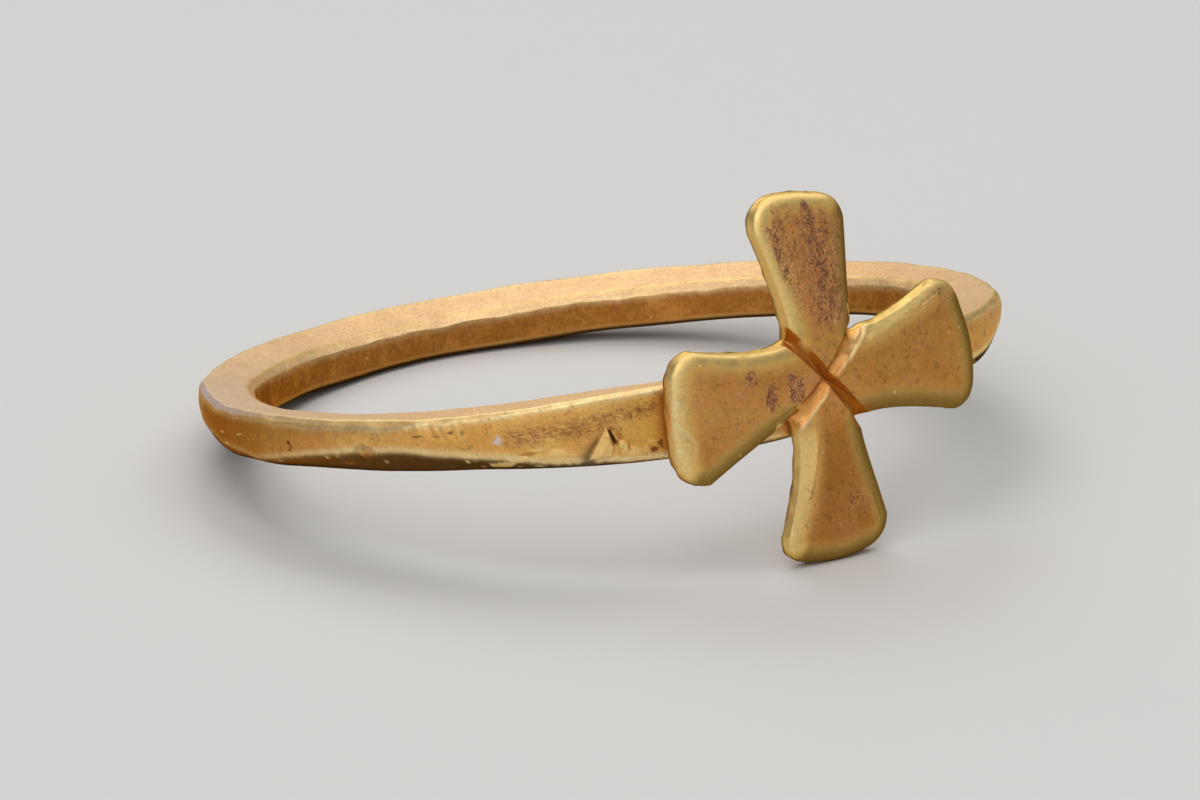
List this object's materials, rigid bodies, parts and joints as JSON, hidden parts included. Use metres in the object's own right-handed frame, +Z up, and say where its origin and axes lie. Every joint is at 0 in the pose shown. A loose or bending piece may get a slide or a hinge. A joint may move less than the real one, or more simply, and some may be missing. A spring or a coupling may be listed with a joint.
{
  "type": "finger ring with cross bezel",
  "caption": "Ancient gold finger ring, a hammered hoop that grows taller at the shoulders and carries a flared cross on its front, lying at rest.",
  "frame": {"origin": "centre of the lying ring's box, on the surface it rests on", "axes": "+Z up from the surface, -Y the way the cross faces, +X to the right of someone who looks at the cross"},
  "size_m": [0.0218, 0.0216, 0.0095],
  "materials": {
    "hoop_gold": "high-carat gold, hammered and worn to a satin, with hammer facets, scratches and reddish soil in the hollows",
    "cross_gold": "high-carat gold, filed and worn to a satin, paler on its rims, with purple-brown deposits on the arms and orange gold in the cuts"
  },
  "bodies": {
    "root": {"hoop": "hoop_gold", "cross": "cross_gold"}
  },
  "joints": []
}
